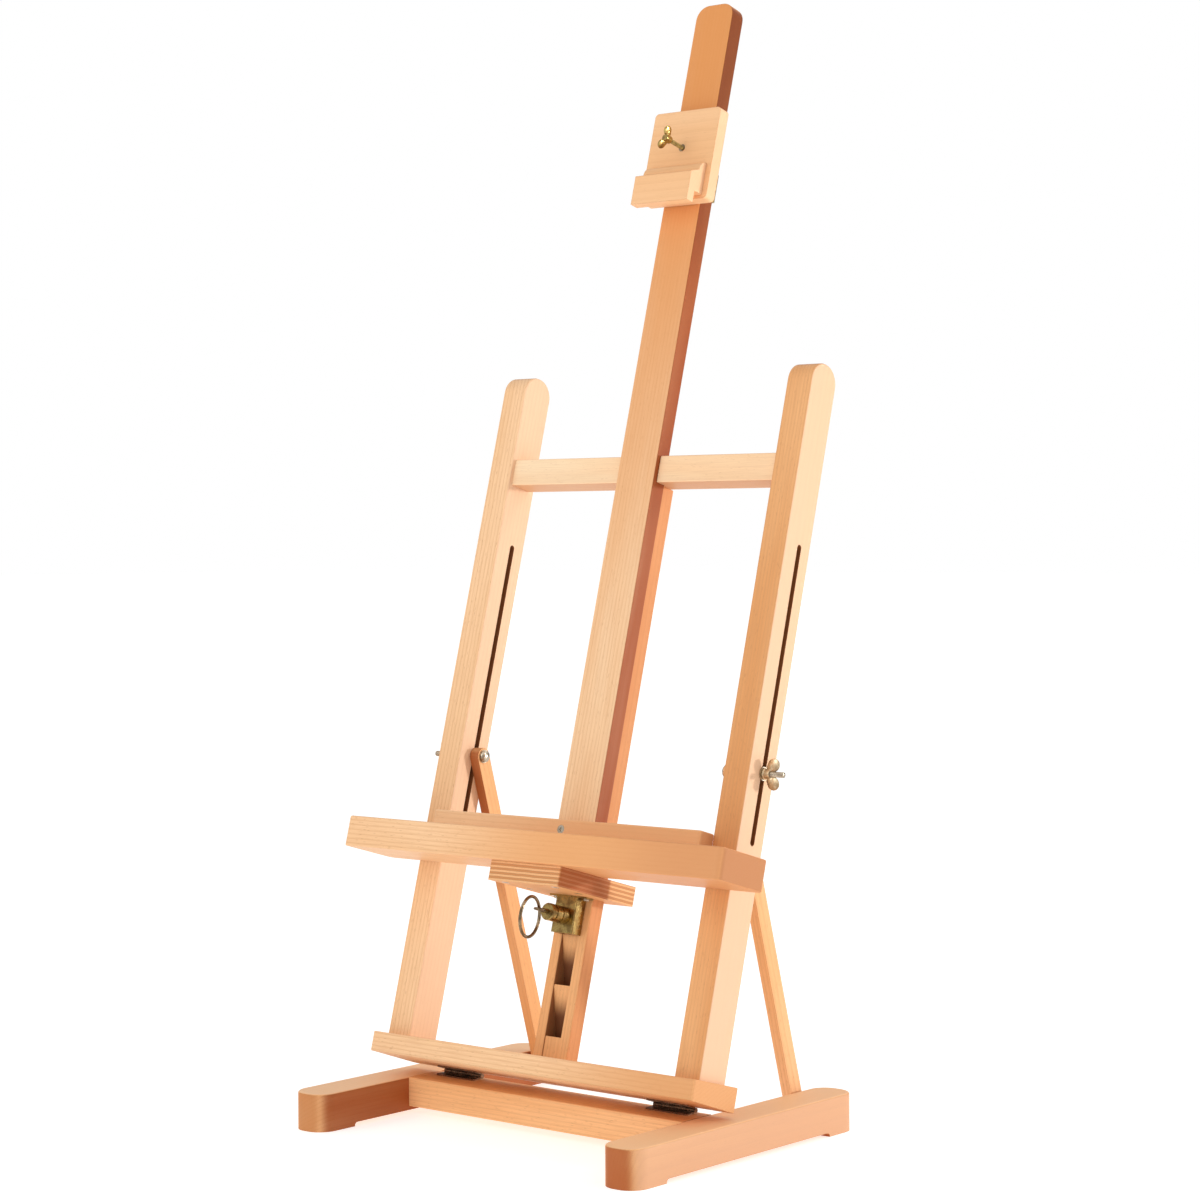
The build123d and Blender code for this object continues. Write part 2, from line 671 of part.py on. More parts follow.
def clamp_body():
    """Plate and overhanging lip, with a groove behind the lip for the top edge of a canvas."""
    front = CLAMP_BACK - CLAMP_PLATE
    plate = block(-CLAMP_HALF, CLAMP_HALF, front, CLAMP_BACK, PLATE_BOTTOM, CLAMP_TOP)
    plate = fillet(plate.edges().filter_by(Axis.Y), 4.0)
    step = front - COVE_R
    outline = Polyline(
        (front, LIP_TOP + LIP_RISE + COVE_R),
        (front, GROOVE_TOP),
        (LIP_FRONT + LIP_THICK, GROOVE_TOP),
        (LIP_FRONT + LIP_THICK, CLAMP_BOTTOM),
        (LIP_FRONT, CLAMP_BOTTOM),
        (LIP_FRONT, LIP_TOP),
        (step, LIP_TOP + LIP_RISE),
    )
    cove = RadiusArc((step, LIP_TOP + LIP_RISE), (front, LIP_TOP + LIP_RISE + COVE_R), COVE_R)
    lip_face = make_face(Plane.YZ * Curve([*outline.edges(), cove]))
    lip = extrude(lip_face, amount=LIP_HALF, both=True)
    body = plate + lip
    body -= rod_y(INSERT_R, front - 1, front + INSERT_LENGTH, 0, SCREW_Z)
    body -= rod_y(INSERT_BORE_R, front - 1, CLAMP_BACK + 1, 0, SCREW_Z)
    for x, z in strap_screw_places():
        body -= rod_y(1.2, CLAMP_BACK - 9, CLAMP_BACK + 1, x, z)
    return lean(body)


def strap_screw_places():
    middle = (STRAP_BOTTOM + STRAP_TOP) / 2
    steps = (-STRAP_SCREW_STEP, STRAP_SCREW_STEP)
    return [(side * STRAP_SCREW_X, middle + step) for side in (-1, 1) for step in steps]


def strap_face():
    """Back face of the strap's two flanges, just clear of the front of the mast."""
    return CLAMP_BACK + STRAP_THICK - 0.1


def clamp_strap():
    """Bent strap that goes round the mast behind the clamp, screwed to the clamp's back."""
    inner = MAST_HALF + STRAP_GAP
    outer = inner + STRAP_THICK
    back = MAST_BACK + STRAP_GAP
    strap = block(-outer, outer, CLAMP_BACK, back + STRAP_THICK, STRAP_BOTTOM, STRAP_TOP)
    strap = fillet(strap.edges().filter_by(Axis.Z).group_by(Axis.Y)[-1], 1.2)
    flange = block(-STRAP_HALF, STRAP_HALF, CLAMP_BACK, strap_face(), STRAP_BOTTOM, STRAP_TOP)
    strap += fillet(flange.edges().filter_by(Axis.Y), 3.0)
    strap -= block(-inner, inner, CLAMP_BACK - 1, back, STRAP_BOTTOM - 1, STRAP_TOP + 1)
    for x, z in strap_screw_places():
        strap -= rod_y(1.25, CLAMP_BACK - 1, CLAMP_BACK + 3, x, z)
    return lean(strap)


def strap_screws():
    screw = Rot(-90, 0, 0) * pan_head(2.4, 1.6, 1.2, 9.0)
    return Compound([lean(Pos(x, strap_face(), z) * screw) for x, z in strap_screw_places()])


def clamp_insert():
    """Threaded brass insert in the clamp's plate."""
    front = CLAMP_BACK - CLAMP_PLATE
    insert = rod_y(INSERT_R, front, front + INSERT_LENGTH, 0, SCREW_Z)
    return lean(insert - rod_y(INSERT_BORE_R, front - 1, front + INSERT_LENGTH + 1, 0, SCREW_Z))


def wing_pair(span, height, thick):
    """Two rounded wings on a hub along +Z, spread along X, with their root at Z = 0."""
    reach = span / 2
    lobe_r = height * 0.4
    wing = Pos(reach - lobe_r, 0, height - lobe_r) * Rot(90, 0, 0) * Cylinder(lobe_r, thick)
    root = Plane.XZ * Polyline(
        (1.0, 0.6),
        (reach - lobe_r * 1.2, height - lobe_r * 1.9),
        (reach - lobe_r * 1.5, height - lobe_r * 0.4),
        (1.0, height * 0.62),
        close=True,
    )
    wing += extrude(make_face(root), amount=thick / 2, both=True)
    return wing + mirror(wing, about=Plane.YZ)


def clamp_thumbscrew():
    """Wing screw that presses the clamp on the front of the mast."""
    screw = rod_y(THUMB_R, THUMB_HEAD_Y, MAST_FRONT - 0.5, 0, SCREW_Z)
    hub = Pos(0, 0, 4.0) * Cone(3.7, 2.8, 8.0)
    head = hub + wing_pair(22.0, 12.5, 2.2)
    screw += Pos(0, THUMB_HEAD_Y + 1.0, SCREW_Z) * Rot(90, 0, 0) * Rot(0, 0, 70) * head
    return lean(screw)


# ---------------------------------------------------------------- braces

def bolt_centre():
    """The brace bolt's centre in the easel's own frame."""
    lean_angle = math.radians(LEAN)
    y = PIN_Y + BOLT_Z * math.sin(lean_angle) + SLOT_Y * math.cos(lean_angle)
    z = PIN_Z + BOLT_Z * math.cos(lean_angle) - SLOT_Y * math.sin(lean_angle)
    return Vector(0, y, z)


def at_bolt(shape):
    """Set a part drawn round the bolt line into the slot, turned with the frame."""
    return lean(Pos(0, SLOT_Y, BOLT_Z) * shape)


def brace_right():
    bolt = bolt_centre()
    run = FOOT_PIVOT_Y - bolt.Y
    drop = bolt.Z - FOOT_PIVOT_Z
    length = math.hypot(run, drop)
    angle = math.degrees(math.atan2(run, drop))
    half = BRACE_WIDTH / 2
    inner = BRACE_OUTER - BRACE_THICK
    bar = block(inner, BRACE_OUTER, -half, half, -length, 0)
    bar += rod_x(half, inner, BRACE_OUTER, 0, 0)
    bar += rod_x(half, inner, BRACE_OUTER, 0, -length)
    bar -= rod_x(BOLT_HOLE_R, inner - 1, BRACE_OUTER + 1, 0, 0)
    bar -= rod_x(PIVOT_R, inner - 1, BRACE_OUTER + 1, 0, -length)
    return Pos(0, bolt.Y, bolt.Z) * Rot(angle, 0, 0) * bar


def brace_pivot_screw():
    """Pan-head pivot screw in the brace's lower end."""
    inner = BRACE_OUTER - BRACE_THICK
    screw = Rot(0, -90, 0) * pan_head(4.5, 2.6, PIVOT_R, BRACE_THICK - 0.2)
    return Pos(inner, FOOT_PIVOT_Y, FOOT_PIVOT_Z) * screw


def brace_bolt():
    """Domed bolt through the brace and the upright's slot."""
    inner = BRACE_OUTER - BRACE_THICK - WASHER_THICK
    end = FRAME_HALF + BOLT_REACH
    shank = rod_x(BOLT_R, inner, end, 0, 0)
    shank = chamfer(shank.edges().sort_by(Axis.X)[-1], 0.6)
    head = rod_x(BOLT_HEAD_R, inner - BOLT_HEAD_HEIGHT, inner, 0, 0)
    head = fillet(head.edges().sort_by(Axis.X)[0], 2.6)
    return at_bolt(head + shank)


def bolt_washers():
    inner = BRACE_OUTER - BRACE_THICK
    spots = (inner - WASHER_THICK, FRAME_HALF)
    rings = []
    for x in spots:
        bore = rod_x(BOLT_HOLE_R, x - 1, x + WASHER_THICK + 1, 0, 0)
        rings.append(at_bolt(rod_x(WASHER_R, x, x + WASHER_THICK, 0, 0) - bore))
    return Compound(rings)


def wing_nut():
    start = FRAME_HALF + WASHER_THICK + 0.1
    hub = Pos(0, 0, 3.5) * Cone(4.9, 3.9, 7.0)
    nut = hub + wing_pair(27.0, 16.0, 2.6)
    nut -= Cylinder(BOLT_HOLE_R, 60)
    turned = Pos(start, 0, 0) * Rot(0, 90, 0) * Rot(0, 0, 12) * nut
    return at_bolt(turned)


# ---------------------------------------------------------------- write

def all_parts():
    foot = foot_right()
    upright = upright_right()
    post_rail = post_rail_right()
    brace = brace_right()
    pivot = brace_pivot_screw()
    bolt = brace_bolt()
    washers = bolt_washers()
    nut = wing_nut()
    return {
        "foot_right": foot,
        "foot_left": mirror_x(foot),
        "base_crossbeam": base_crossbeam(),
        "base_dowels": base_dowels(),
        "brace_bushes": brace_bushes(),
        "hinge_lower_leaf_right": lower_leaf(1),
        "hinge_lower_leaf_left": lower_leaf(-1),
        "hinge_pin_right": hinge_pin(1),
        "hinge_pin_left": hinge_pin(-1),
        "hinge_lower_screws": lower_hinge_screws(),
        "hinge_upper_leaf_right": upper_leaf(1),
        "hinge_upper_leaf_left": upper_leaf(-1),
        "hinge_upper_screws": upper_hinge_screws(),
        "bottom_rail": bottom_rail(),
        "upright_right": upright,
        "upright_left": mirror_x(upright),
        "top_crossbar": top_crossbar(),
        "post_rail_right": post_rail,
        "post_rail_left": mirror_x(post_rail),
        "ratchet_rack": ratchet_rack(),
        "frame_dowels": frame_dowels(),
        "post_screws": post_screws(),
        "mast": mast(),
        "tray_bar": tray_bar(),
        "tray_ledge": tray_ledge(),
        "ledge_screw": ledge_screw(),
        "carriage_plate": carriage_plate(),
        "tray_screws": tray_screws(),
        "pawl_box": pawl_box(),
        "pawl_sleeve": pawl_sleeve(),
        "pawl_box_screws": box_screws(),
        "pawl": pawl(),
        "pull_rod": pull_rod(),
        "pawl_spring": pawl_spring(),
        "pull_ring": pull_ring(),
        "clamp_body": clamp_body(),
        "clamp_strap": clamp_strap(),
        "clamp_strap_screws": strap_screws(),
        "clamp_insert": clamp_insert(),
        "clamp_thumbscrew": clamp_thumbscrew(),
        "brace_right": brace,
        "brace_left": mirror_x(brace),
        "brace_pivot_screw_right": pivot,
        "brace_pivot_screw_left": mirror_x(pivot),
        "brace_bolt_right": bolt,
        "brace_bolt_left": mirror_x(bolt),
        "bolt_washers_right": washers,
        "bolt_washers_left": mirror_x(washers),
        "wing_nut_right": nut,
        "wing_nut_left": mirror_x(nut),
    }


os.makedirs("parts", exist_ok=True)
for name, shape in all_parts().items():
    export_step(shape, f"parts/{name}.step")
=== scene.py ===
import json
import math

import bpy
from mathutils import Euler, Matrix, Vector


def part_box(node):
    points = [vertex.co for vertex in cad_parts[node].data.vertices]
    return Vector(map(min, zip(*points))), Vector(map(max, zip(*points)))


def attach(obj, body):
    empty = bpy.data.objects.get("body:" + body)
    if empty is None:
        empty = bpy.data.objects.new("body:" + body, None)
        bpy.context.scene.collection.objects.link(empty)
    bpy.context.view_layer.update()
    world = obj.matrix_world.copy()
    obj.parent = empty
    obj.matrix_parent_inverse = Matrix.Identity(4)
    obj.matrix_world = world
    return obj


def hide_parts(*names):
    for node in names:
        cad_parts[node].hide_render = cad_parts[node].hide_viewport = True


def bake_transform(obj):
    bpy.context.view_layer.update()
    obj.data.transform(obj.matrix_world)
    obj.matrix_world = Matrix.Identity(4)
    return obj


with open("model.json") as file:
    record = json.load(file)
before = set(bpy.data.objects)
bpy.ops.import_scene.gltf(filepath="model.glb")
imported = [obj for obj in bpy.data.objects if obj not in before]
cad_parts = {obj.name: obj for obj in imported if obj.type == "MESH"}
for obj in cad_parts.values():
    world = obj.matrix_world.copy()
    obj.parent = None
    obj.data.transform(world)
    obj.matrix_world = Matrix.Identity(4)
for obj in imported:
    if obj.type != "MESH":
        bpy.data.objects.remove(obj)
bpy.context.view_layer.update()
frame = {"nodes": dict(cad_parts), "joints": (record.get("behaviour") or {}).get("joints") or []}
nodes = frame["nodes"]
joints = {joint["name"]: joint for joint in frame["joints"]}

# ---------------------------------------------------------------- places, from the frame
# "Upright" is the leaning frame stood up straight on its pin line. "Row" is the shared frame at rest.

MM = 0.001
PIN = Vector(joints["frame_tilt"]["pos_m"])
LEAN = -math.radians(joints["frame_tilt"]["range_deg"][0])
UPRIGHT_TO_ROW = Matrix.Rotation(-LEAN, 4, "X")
ROW_TO_UPRIGHT = Matrix.Rotation(LEAN, 4, "X")

RIGHT = (1, 0, 0)
FRONT = (0, -1, 0)
UP = (0, 0, 1)
DOWN = (0, 0, -1)
INTO_POST = tuple(UPRIGHT_TO_ROW.to_3x3() @ Vector((0, 1, 0)))


def upright_box(node):
    """Lowest and highest corners of a node, measured in the frame stood upright on its pin line."""
    turned = [ROW_TO_UPRIGHT @ (v.co - PIN) for v in nodes[node].data.vertices]
    low = Vector([min(v[i] for v in turned) for i in range(3)])
    high = Vector([max(v[i] for v in turned) for i in range(3)])
    return low, high


def brace_angle(node):
    """How far a straight brace leans forward of upright, from the two ends of its box."""
    low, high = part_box(node)
    brace_width = 15 * MM
    run = high.y - low.y - brace_width
    rise = high.z - low.z - brace_width
    return math.atan2(run, rise)


PIN_LINE = PIN.dot(Vector(INTO_POST))
SLOT_LINE = Vector(joints["wing_nut_turn_right"]["pos_m"]).dot(Vector(INTO_POST))
RACK_FRONT, RACK_BACK = (corner.y for corner in upright_box("ratchet_rack"))


def depth_in_post(depth):
    """How far along INTO_POST a point lies that is this deep behind the front of the rack."""
    return PIN_LINE + RACK_FRONT + depth


# ---------------------------------------------------------------- node helpers

class Graph:
    """A short way to add and link the nodes of one material."""

    def __init__(self, name):
        self.material = bpy.data.materials.new(name)
        self.material.use_nodes = True
        self.tree = self.material.node_tree
        self.shader = self.tree.nodes["Principled BSDF"]
        place = self.tree.nodes.new("ShaderNodeTexCoord")
        self.position = place.outputs["Object"]
        self.normal = place.outputs["Normal"]

    def add(self, kind, settings=None, **inputs):
        node = self.tree.nodes.new(kind)
        for key, value in (settings or {}).items():
            setattr(node, key, value)
        for key, value in inputs.items():
            self.put(node.inputs[key.replace("_", " ")], value)
        return node

    def put(self, socket, value):
        if isinstance(value, bpy.types.NodeSocket):
            self.tree.links.new(value, socket)
        else:
            socket.default_value = value

    def math(self, operation, a, b=0.0, clamp=False):
        node = self.add("ShaderNodeMath", {"operation": operation, "use_clamp": clamp})
        self.put(node.inputs[0], a)
        self.put(node.inputs[1], b)
        return node.outputs[0]

    def mix(self, factor, a, b):
        """Colour a with a factor of b over it.

        A mix node's factor is socket 0, its two colours are 6 and 7, and the mixed colour is output 2.
        """
        node = self.add("ShaderNodeMix", {"data_type": "RGBA", "blend_type": "MIX"})
        for socket, value in zip((0, 6, 7), (factor, a, b)):
            self.put(node.inputs[socket], value)
        return node.outputs[2]

    def span(self, value, low, high, to_low=0.0, to_high=1.0):
        """Map value from low..high to to_low..to_high, smoothly, and hold it at the ends."""
        node = self.add("ShaderNodeMapRange", {"interpolation_type": "SMOOTHSTEP"})
        for socket, number in zip(node.inputs[:5], (value, low, high, to_low, to_high)):
            self.put(socket, number)
        return node.outputs[0]

    def noise(self, vector, scale, detail=3.0, roughness=0.5):
        node = self.add("ShaderNodeTexNoise", Vector=vector, Scale=scale, Detail=detail, Roughness=roughness)
        return node.outputs["Fac"]

    def moved(self, vector, rotation, location):
        return self.add("ShaderNodeMapping", Vector=vector, Rotation=rotation, Location=location).outputs[0]

    def turned(self, direction, rotation):
        return self.add("ShaderNodeMapping", {"vector_type": "VECTOR"},
                        Vector=direction, Rotation=rotation).outputs[0]

    def drawn_out(self, vector, along_z, along_x=1):
        """A place whose z or x counts for only this share, so that a pattern on it is drawn out that way."""
        return self.add("ShaderNodeMapping", Vector=vector, Scale=(along_x, 1, along_z)).outputs[0]

    def dot(self, vector, direction):
        node = self.add("ShaderNodeVectorMath", {"operation": "DOT_PRODUCT"})
        self.put(node.inputs[0], vector)
        self.put(node.inputs[1], direction)
        return node.outputs["Value"]

    def either_way(self, vector, direction):
        """How far a vector points along a direction or against it."""
        return self.math("ABSOLUTE", self.dot(vector, direction))

    def edges(self, radius):
        """1 on sharp edges and 0 on flat faces."""
        bevel = self.add("ShaderNodeBevel", {"samples": 4}, Radius=radius)
        geometry = self.add("ShaderNodeNewGeometry")
        return self.span(self.dot(bevel.outputs[0], geometry.outputs["Normal"]), 0.98, 0.80)

    def bump(self, height, distance, strength):
        node = self.add("ShaderNodeBump", Height=height, Distance=distance, Strength=strength)
        self.put(self.shader.inputs["Normal"], node.outputs[0])

    def finish(self, colour, roughness, metallic=0.0, coat=0.0, coat_roughness=0.32, specular=0.5):
        self.put(self.shader.inputs["Base Color"], colour)
        self.put(self.shader.inputs["Roughness"], roughness)
        self.shader.inputs["Metallic"].default_value = metallic
        self.shader.inputs["Specular IOR Level"].default_value = specular
        self.shader.inputs["Coat Weight"].default_value = coat
        self.shader.inputs["Coat Roughness"].default_value = coat_roughness
        return self.material

    def finish_oiled(self, colour, roughness):
        """The low sheen of oiled wood."""
        return self.finish(colour, roughness, coat=0.02, specular=0.15)


# ---------------------------------------------------------------- wood

ALONG_X = Matrix.Rotation(math.radians(-90), 4, "Y")
ALONG_Y = Matrix.Rotation(math.radians(90), 4, "X")
LEAN_Z = ROW_TO_UPRIGHT
LEAN_X = ALONG_X @ ROW_TO_UPRIGHT
BRACE_Z = Matrix.Rotation(-brace_angle("brace_right"), 4, "X")

HONEY = (0.87, 0.465, 0.205, 1)
TAN = (0.76, 0.350, 0.130, 1)
PALE = (0.97, 0.640, 0.375, 1)
BLOND = (0.98, 0.745, 0.490, 1)
# Painted highlight: the lit right sides of the uprights.
SIDE_HIGHLIGHT_CREAM = (0.80, 0.535, 0.360, 1)
BISCUIT = (0.92, 0.570, 0.310, 1)
AMBER = (0.74, 0.290, 0.082, 1)
# Painted shade: shaded sides, and the tray's shadow on the plate.
SHADE_RUSSET = (0.31, 0.055, 0.006, 1)
# Painted deep shade: the post's side, the rack's notches and the mast's side higher up.
DEEP_SHADE_UMBER = (0.110, 0.030, 0.010, 1)
LATE_WOOD = (0.62, 0.290, 0.120, 1)
FIBRES = (0.56, 0.270, 0.120, 1)
FLECKS = (0.40, 0.170, 0.070, 1)
END_GRAIN = (0.40, 0.160, 0.068, 1)
# Painted shade along the sharp edges of the wood.
ARRIS = (0.42, 0.170, 0.060, 1)
SLOT_SHADE = (0.27, 0.100, 0.034, 1)

RING_PITCH = 3.2 * MM
WAVE_RATE = 20  # radians per metre of Blender's wave texture at a scale of 1
SLOT_SHADE_OUTER, SLOT_SHADE_INNER = 3.8 * MM, 3.1 * MM
EDGE_WEAR_AND_SHADE_WIDTH = 1.0 * MM


class Fade:
    """A change of colour across a stick, from 0 at low to share at high metres along a direction.

    It stays at share beyond high, or drops back to 0 at stop.
    """

    def __init__(self, direction, low, high, colour, share, stop=None):
        self.direction = direction
        self.low = low
        self.high = high
        self.colour = colour
        self.share = share
        self.stop = stop

    def over(self, g, colour):
        along = g.dot(g.position, self.direction)
        cover = g.span(along, self.low, self.high, 0.0, self.share)
        if self.stop is not None:
            cover = g.math("MULTIPLY", cover, g.math("LESS_THAN", along, self.stop))
        return g.mix(cover, colour, self.colour)


class SideLightAndShade:
    """Painted light and shade: a lighter or darker colour on the faces that look along a direction, over the
    whole stick or fading in with height.
    """

    def __init__(self, direction, colour, share, heights=None):
        self.direction = direction
        self.colour = colour
        self.share = share
        self.heights = heights

    def over(self, g, colour, streak):
        facing = g.span(g.dot(g.normal, self.direction), 0.55, 0.95)
        cover = g.math("MULTIPLY", g.math("MULTIPLY", facing, streak), self.share)
        if self.heights:
            cover = g.math("MULTIPLY", cover, g.span(g.dot(g.position, UP), *self.heights))
        return g.mix(cover, colour, self.colour)


def beech_rings(g, grain):
    """Year rings round the grain's axis, 1 in the dark late wood."""
    warp = g.math("MULTIPLY", g.noise(g.drawn_out(grain, 0.05), 60.0, 3.0), 4.0)
    rings = g.add("ShaderNodeTexWave", {"wave_type": "RINGS", "rings_direction": "Z", "wave_profile": "SAW"},
                  Vector=g.drawn_out(grain, 0.02), Scale=math.tau / (WAVE_RATE * RING_PITCH),
                  Distortion=1.6, Detail=2.0, Detail_Scale=0.6, Phase_Offset=warp)
    return g.span(rings.outputs["Fac"], 0.45, 1.0)


def beech_flecks(g, grain):
    """The short dark flecks of beech, gathered in patches."""
    cells = g.add("ShaderNodeTexVoronoi", {"feature": "F1"}, Vector=g.drawn_out(grain, 0.16), Scale=760.0)
    fleck = g.span(cells.outputs["Distance"], 0.30, 0.12)
    sparse = g.span(g.noise(grain, 180.0, 1.0), 0.42, 0.60)
    return g.math("MULTIPLY", fleck, sparse)


def paint_slot_shade(g, colour, slot):
    """Paint shade on the walls of the slot whose middle lies this far along INTO_POST."""
    across = g.math("SUBTRACT", g.dot(g.position, INTO_POST), slot)
    in_slot = g.span(g.math("ABSOLUTE", across), SLOT_SHADE_OUTER, SLOT_SHADE_INNER)
    wall = g.span(g.either_way(g.normal, RIGHT), 0.6, 0.2)
    return g.mix(g.math("MULTIPLY", in_slot, wall), colour, SLOT_SHADE)


def wood(name, turn, seed, light=HONEY, dark=TAN, lit_and_shaded_sides=(), fades=(), end_share=0.65, figure=1.0, slot=None):
    """Oiled beech with its grain along the axis that turn brings onto Z. figure scales its streaks."""
    g = Graph(name)
    rotation = turn.to_euler()
    shift = (0.13 + 0.071 * seed, 0.09 + 0.053 * seed, 0.37 * seed)
    grain = g.moved(g.position, rotation, shift)
    ends = g.span(g.either_way(g.turned(g.normal, rotation), UP), 0.70, 0.98)

    broad = g.noise(g.drawn_out(grain, 0.12), 26.0, 2.0)
    late = beech_rings(g, grain)
    fibre = g.noise(g.drawn_out(grain, 0.025), 1500.0, 4.0, 0.6)
    fleck = beech_flecks(g, grain)
    # Edges: painted shade in the colour, real wear in the roughness.
    edge_wear_and_shade = g.edges(EDGE_WEAR_AND_SHADE_WIDTH)

    colour = g.mix(g.span(broad, 0.30, 0.72), light, dark)
    colour = g.mix(g.math("MULTIPLY", late, 0.30 * figure), colour, LATE_WOOD)
    colour = g.mix(g.span(fibre, 0.35, 0.75, 0.0, 0.30 * figure), colour, FIBRES)
    colour = g.mix(g.math("MULTIPLY", fleck, 0.34 * figure), colour, FLECKS)
    for fade in fades:
        colour = fade.over(g, colour)
    colour = g.mix(g.math("MULTIPLY", ends, end_share), colour, END_GRAIN)
    streak = g.span(broad, 0.25, 0.75, 0.82, 1.0)
    # Painted light and shade on the faces that look along each side's direction.
    for side in lit_and_shaded_sides:
        colour = side.over(g, colour, streak)
    colour = g.mix(g.math("MULTIPLY", edge_wear_and_shade, 0.55), colour, ARRIS)
    if slot is not None:
        colour = paint_slot_shade(g, colour, slot)

    rough = g.span(fibre, 0.2, 0.8, 0.40, 0.56)
    rough = g.math("ADD", rough, g.math("MULTIPLY", ends, 0.14))
    rough = g.math("SUBTRACT", rough, g.math("MULTIPLY", edge_wear_and_shade, 0.08))
    height = g.math("ADD", fibre, g.math("MULTIPLY", late, 0.5))
    height = g.math("SUBTRACT", height, g.math("MULTIPLY", fleck, 0.8))
    g.bump(height, distance=0.12 * MM, strength=0.35)
    return g.finish_oiled(colour, rough)


EVEN_PLY = (0.88, 0.500, 0.240, 1)
ODD_PLY = (0.62, 0.280, 0.110, 1)
PLY_PORES = (0.38, 0.170, 0.070, 1)
GLUE_LINE = (0.27, 0.100, 0.035, 1)
UNDER_TRAY, CLEAR_OF_TRAY = -38 * MM, -34 * MM


def plywood(name, node, plies):
    """Beech plywood: a face veneer above and below, and glued plies that show on the edges."""
    g = Graph(name)
    low, high = upright_box(node)
    rotation = ROW_TO_UPRIGHT.to_euler()
    to_underside = -(ROW_TO_UPRIGHT @ PIN) - Vector((0, 0, low.z))
    local = g.moved(g.position, rotation, tuple(to_underside))
    parts = g.add("ShaderNodeSeparateXYZ", Vector=local).outputs

    wave = g.math("MULTIPLY", g.noise(g.drawn_out(local, 0.3), 70.0, 2.0), 0.35)
    layer = g.math("ADD", g.math("MULTIPLY", parts["Z"], plies / (high.z - low.z)), wave)
    odd = g.math("GREATER_THAN", g.math("FRACT", g.math("MULTIPLY", layer, 0.5)), 0.5)
    within = g.math("FRACT", layer)
    glue = g.math("ADD", g.span(within, 0.09, 0.0), g.span(within, 0.91, 1.0), clamp=True)
    fibre = g.noise(g.drawn_out(local, 1, along_x=0.06), 1300.0, 4.0, 0.6)
    pores = g.noise(local, 2200.0, 2.0, 0.6)

    edge_colour = g.mix(odd, EVEN_PLY, ODD_PLY)
    edge_colour = g.mix(g.span(pores, 0.45, 0.7, 0.0, 0.35), edge_colour, PLY_PORES)
    edge_colour = g.mix(g.math("MULTIPLY", glue, 0.75), edge_colour, GLUE_LINE)
    face_colour = g.mix(g.span(fibre, 0.3, 0.75), HONEY, TAN)
    flat = g.span(g.either_way(g.turned(g.normal, rotation), UP), 0.75, 0.95)
    colour = g.mix(flat, edge_colour, face_colour)
    # Painted shadow of the tray on the plate's right side, under the tray and fading out behind it.
    side = g.span(g.dot(g.normal, RIGHT), 0.55, 0.95)
    shade = g.span(parts["Y"], UNDER_TRAY, CLEAR_OF_TRAY, 0.66, 0.0)
    colour = g.mix(g.math("MULTIPLY", side, shade), colour, SHADE_RUSSET)

    rough = g.span(fibre, 0.2, 0.8, 0.48, 0.62)
    height = g.math("SUBTRACT", fibre, g.math("MULTIPLY", glue, 0.9))
    g.bump(height, distance=0.15 * MM, strength=0.4)
    return g.finish_oiled(colour, rough)


# ---------------------------------------------------------------- metals

def metal(name, bright, dull, grime, roughness, metallic=1.0):
    """Metal with blotchy tarnish, fine scratches and brighter worn edges.

    roughness is its lowest and its highest value.
    """
    g = Graph(name)
    blotch = g.noise(g.position, 160.0, 4.0, 0.6)
    scratch = g.noise(g.drawn_out(g.position, 0.06), 3200.0, 3.0, 0.7)
    pit = g.noise(g.position, 2400.0, 2.0)
    edge_wear_and_shade = g.edges(0.5 * MM)
    colour = g.mix(g.span(blotch, 0.35, 0.70), bright, dull)
    colour = g.mix(g.span(pit, 0.62, 0.80, 0.0, 0.5), colour, grime)
    colour = g.mix(g.math("MULTIPLY", edge_wear_and_shade, 0.5), colour, bright)
    rough = g.span(g.math("ADD", blotch, g.math("MULTIPLY", scratch, 0.5)), 0.55, 1.0, *roughness)
    g.bump(g.math("ADD", scratch, g.math("MULTIPLY", pit, 0.6)), distance=0.03 * MM, strength=0.30)
    return g.finish(colour, rough, metallic=metallic)


BRASS = metal(
    "antique_brass", bright=(0.47, 0.33, 0.115, 1), dull=(0.20, 0.125, 0.045, 1),
    grime=(0.045, 0.025, 0.010, 1), roughness=(0.20, 0.46))
STRAP_BRASS = metal(
    "strap_brass", bright=(0.52, 0.375, 0.165, 1), dull=(0.39, 0.265, 0.105, 1),
    grime=(0.16, 0.100, 0.045, 1), roughness=(0.24, 0.42))
NUT_BRASS = metal(
    "dusty_brass", bright=(0.74, 0.60, 0.40, 1), dull=(0.40, 0.29, 0.17, 1),
    grime=(0.10, 0.060, 0.030, 1), roughness=(0.24, 0.50))
BRONZE = metal(
    "ring_bronze", bright=(0.33, 0.245, 0.150, 1), dull=(0.120, 0.085, 0.050, 1),
    grime=(0.045, 0.030, 0.018, 1), roughness=(0.22, 0.40))
ZINC = metal(
    "zinc_steel", bright=(0.58, 0.50, 0.39, 1), dull=(0.32, 0.25, 0.18, 1),
    grime=(0.10, 0.07, 0.05, 1), roughness=(0.20, 0.40))
BLACK = metal(
    "black_steel", bright=(0.280, 0.150, 0.085, 1), dull=(0.105, 0.050, 0.028, 1),
    grime=(0.045, 0.020, 0.010, 1), roughness=(0.22, 0.44), metallic=0.75)


# ---------------------------------------------------------------- the CAD pieces' materials

def dress(material, slot, *names):
    for name in names:
        nodes[name].data.materials.clear()
        nodes[name].data.materials.append(material)


